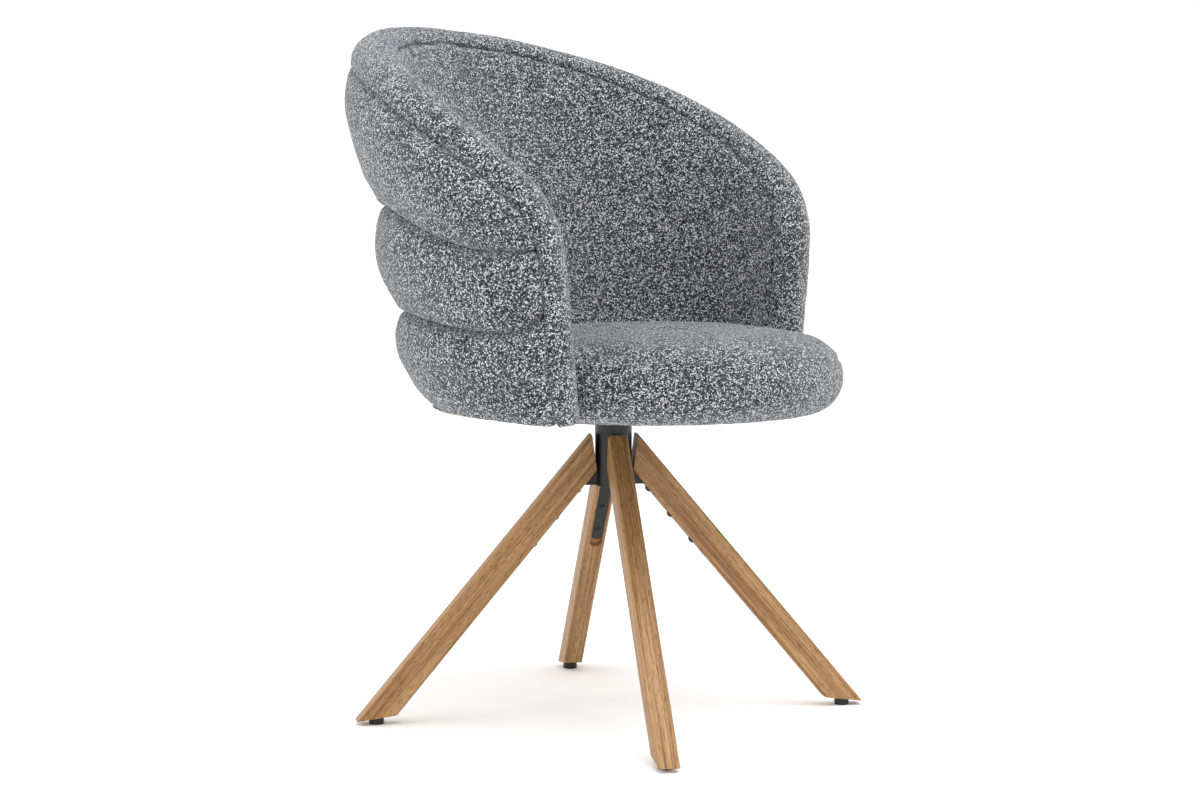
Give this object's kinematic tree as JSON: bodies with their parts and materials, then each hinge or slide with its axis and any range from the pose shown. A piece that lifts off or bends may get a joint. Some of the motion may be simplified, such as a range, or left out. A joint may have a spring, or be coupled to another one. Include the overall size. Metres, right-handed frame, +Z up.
{
  "type": "swivel dining chair",
  "caption": "Upholstered tub chair with three stuffed rolls outside, a round crowned seat and a free swivel on splayed square oak legs with a black steel hub.",
  "frame": {"origin": "on the floor, under the middle of the chair's width and depth at rest", "axes": "+Z up; the chair faces -Y; the sitter's right is at -X"},
  "size_m": [0.6768, 0.5882, 0.8395],
  "materials": {
    "melange_upholstery": "coarse grey melange boucle weave over foam",
    "oak": "satin lacquered oak",
    "black_painted_steel": "matte black powder coat",
    "black_screw_steel": "blackened steel",
    "black_plastic": "matte moulded",
    "bearing_plastic": "natural acetal",
    "bright_steel": "zinc plated",
    "plywood": "bare birch plywood",
    "dust_cloth": "thin black non-woven cloth"
  },
  "bodies": {
    "base": {"hub_column": "black_painted_steel", "column_end_cap": "black_plastic", "lower_bush": "bearing_plastic", "upper_bush": "bearing_plastic", "leg_front_right": "oak", "leg_arm_front_right": "black_painted_steel", "arm_screws_front_right": "black_screw_steel", "glide_front_right": "black_plastic", "leg_front_left": "oak", "leg_arm_front_left": "black_painted_steel", "arm_screws_front_left": "black_screw_steel", "glide_front_left": "black_plastic", "leg_rear_left": "oak", "leg_arm_rear_left": "black_painted_steel", "arm_screws_rear_left": "black_screw_steel", "glide_rear_left": "black_plastic", "leg_rear_right": "oak", "leg_arm_rear_right": "black_painted_steel", "arm_screws_rear_right": "black_screw_steel", "glide_rear_right": "black_plastic"},
    "seat": {"spindle": "bright_steel", "thrust_washer": "bearing_plastic", "spindle_washer": "bright_steel", "retaining_ring": "bright_steel", "seat_plate": "black_painted_steel", "plate_bolts": "bright_steel", "tee_nuts": "bright_steel", "seat_board": "plywood", "shell_base_ring": "plywood", "shell_fixing_screws": "bright_steel", "seat_cushion": "melange_upholstery", "dust_cover": "dust_cloth", "shell_frame": "plywood", "shell_inner_pad": "melange_upholstery", "outer_roll_top": "melange_upholstery", "outer_roll_middle": "melange_upholstery", "outer_roll_bottom": "melange_upholstery", "edge_band": "melange_upholstery"}
  },
  "joints": [
    {"name": "seat_swivel", "type": "hinge", "parent": "base", "child": "seat", "pos_m": [0, -0.01084, 0.366], "axis": [0, 0, 1], "continuous": true}
  ]
}
